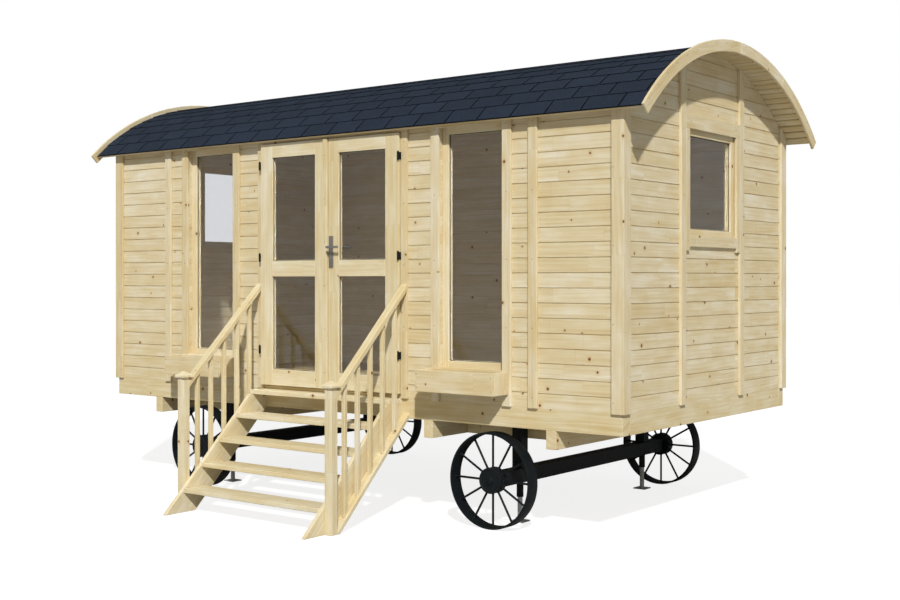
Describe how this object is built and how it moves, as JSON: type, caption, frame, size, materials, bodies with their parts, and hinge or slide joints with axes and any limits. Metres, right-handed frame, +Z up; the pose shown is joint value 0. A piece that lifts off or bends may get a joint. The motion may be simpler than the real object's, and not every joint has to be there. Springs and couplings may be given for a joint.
{
  "type": "shepherds hut",
  "caption": "Shepherd's hut: timber-boarded cabin with bowed shingle roof, glazed doors, stair with handrails, flower boxes, and spoked wheels on steel axles with adjustable jacks.",
  "frame": {"origin": "on the ground, under the middle of the whole object, stairs included", "axes": "+X along the hut to the right-hand gable as seen from the doors, +Y from the door side to the back, +Z up"},
  "size_m": [5.26, 3.5373, 3.24],
  "materials": {
    "wall_spruce": "planed, matt",
    "trim_spruce": "planed, matt",
    "beam_spruce": "planed, matt",
    "floor_spruce": "planed, matt",
    "deck_spruce": "planed, matt",
    "frame_spruce": "planed, matt",
    "door_spruce": "planed, matt",
    "stair_spruce": "planed, matt",
    "bitumen_shingle": "mineral granules on bitumen",
    "glazing": "float glass",
    "chassis_steel": "black satin paint",
    "wheel_steel": "black satin paint",
    "hinge_steel": "black",
    "handle_steel": "satin",
    "galvanised_steel": "zinc coated"
  },
  "bodies": {
    "hut": {"base_beams_long": "beam_spruce", "base_beams_end": "beam_spruce", "floor": "floor_spruce", "bearers": "beam_spruce", "front_wall_piers": "wall_spruce", "gable_wall_sides": "wall_spruce", "back_wall": "wall_spruce", "walls_under_windows": "wall_spruce", "walls_over_openings": "wall_spruce", "roof_deck": "deck_spruce", "roof_shingles": "bitumen_shingle", "bargeboards": "trim_spruce", "corner_trims": "trim_spruce", "wall_battens": "trim_spruce", "door_casings": "trim_spruce", "cross_casings": "trim_spruce", "gable_side_casings": "trim_spruce", "window_frame_stiles": "frame_spruce", "window_frame_rails": "frame_spruce", "window_panes": "glazing", "door_jambs": "frame_spruce", "door_sill": "frame_spruce", "frame_hinge_leaves": "hinge_steel", "flower_boxes": "trim_spruce", "stair_stringers": "stair_spruce", "stair_treads": "stair_spruce", "stair_newels": "stair_spruce", "stair_handrails": "stair_spruce", "stair_base_rails": "stair_spruce", "stair_balusters": "stair_spruce", "axles": "chassis_steel", "legs": "chassis_steel"},
    "left_door": {"left_door_leaf": "door_spruce", "left_door_glass": "glazing", "left_door_cover_strip": "door_spruce", "left_door_hinge_leaves": "hinge_steel"},
    "right_door": {"right_door_leaf": "door_spruce", "right_door_glass": "glazing", "right_door_hinge_leaves": "hinge_steel", "right_door_handle_plates": "handle_steel"},
    "lever": {"door_lever": "handle_steel"},
    "front_left_wheel": {"front_left_wheel_rim": "wheel_steel", "front_left_wheel_spokes": "wheel_steel", "front_left_wheel_hub": "wheel_steel"},
    "front_left_jack": {"front_left_jack_foot": "galvanised_steel"},
    "front_right_wheel": {"front_right_wheel_rim": "wheel_steel", "front_right_wheel_spokes": "wheel_steel", "front_right_wheel_hub": "wheel_steel"},
    "front_right_jack": {"front_right_jack_foot": "galvanised_steel"},
    "back_left_wheel": {"back_left_wheel_rim": "wheel_steel", "back_left_wheel_spokes": "wheel_steel", "back_left_wheel_hub": "wheel_steel"},
    "back_left_jack": {"back_left_jack_foot": "galvanised_steel"},
    "back_right_wheel": {"back_right_wheel_rim": "wheel_steel", "back_right_wheel_spokes": "wheel_steel", "back_right_wheel_hub": "wheel_steel"},
    "back_right_jack": {"back_right_jack_foot": "galvanised_steel"}
  },
  "joints": [
    {"name": "left_door_swing", "type": "hinge", "parent": "hut", "child": "left_door", "pos_m": [-0.678, -0.84365, 1.805], "axis": [0, 0, -1], "range_deg": [0, 85]},
    {"name": "right_door_swing", "type": "hinge", "parent": "hut", "child": "right_door", "pos_m": [0.678, -0.84365, 1.805], "axis": [0, 0, 1], "range_deg": [0, 85]},
    {"name": "lever_turn", "type": "hinge", "parent": "right_door", "child": "lever", "pos_m": [0.048, -0.83565, 1.872], "axis": [0, 1, 0], "range_deg": [0, 40], "stiffness_Nm_per_rad": 1.5, "springref_deg": -22.92},
    {"name": "front_left_wheel_roll", "type": "hinge", "parent": "hut", "child": "front_left_wheel", "pos_m": [-1.415, -0.74915, 0.3185], "axis": [0, 1, 0], "continuous": true},
    {"name": "front_left_jack_slide", "type": "slide", "parent": "hut", "child": "front_left_jack", "axis": [0, 0, 1], "range_m": [0, 0.09]},
    {"name": "front_right_wheel_roll", "type": "hinge", "parent": "hut", "child": "front_right_wheel", "pos_m": [1.415, -0.74915, 0.3185], "axis": [0, 1, 0], "continuous": true},
    {"name": "front_right_jack_slide", "type": "slide", "parent": "hut", "child": "front_right_jack", "axis": [0, 0, 1], "range_m": [0, 0.09]},
    {"name": "back_left_wheel_roll", "type": "hinge", "parent": "hut", "child": "back_left_wheel", "pos_m": [-1.415, 1.57685, 0.3185], "axis": [0, 1, 0], "continuous": true},
    {"name": "back_left_jack_slide", "type": "slide", "parent": "hut", "child": "back_left_jack", "axis": [0, 0, 1], "range_m": [0, 0.09]},
    {"name": "back_right_wheel_roll", "type": "hinge", "parent": "hut", "child": "back_right_wheel", "pos_m": [1.415, 1.57685, 0.3185], "axis": [0, 1, 0], "continuous": true},
    {"name": "back_right_jack_slide", "type": "slide", "parent": "hut", "child": "back_right_jack", "axis": [0, 0, 1], "range_m": [0, 0.09]}
  ]
}
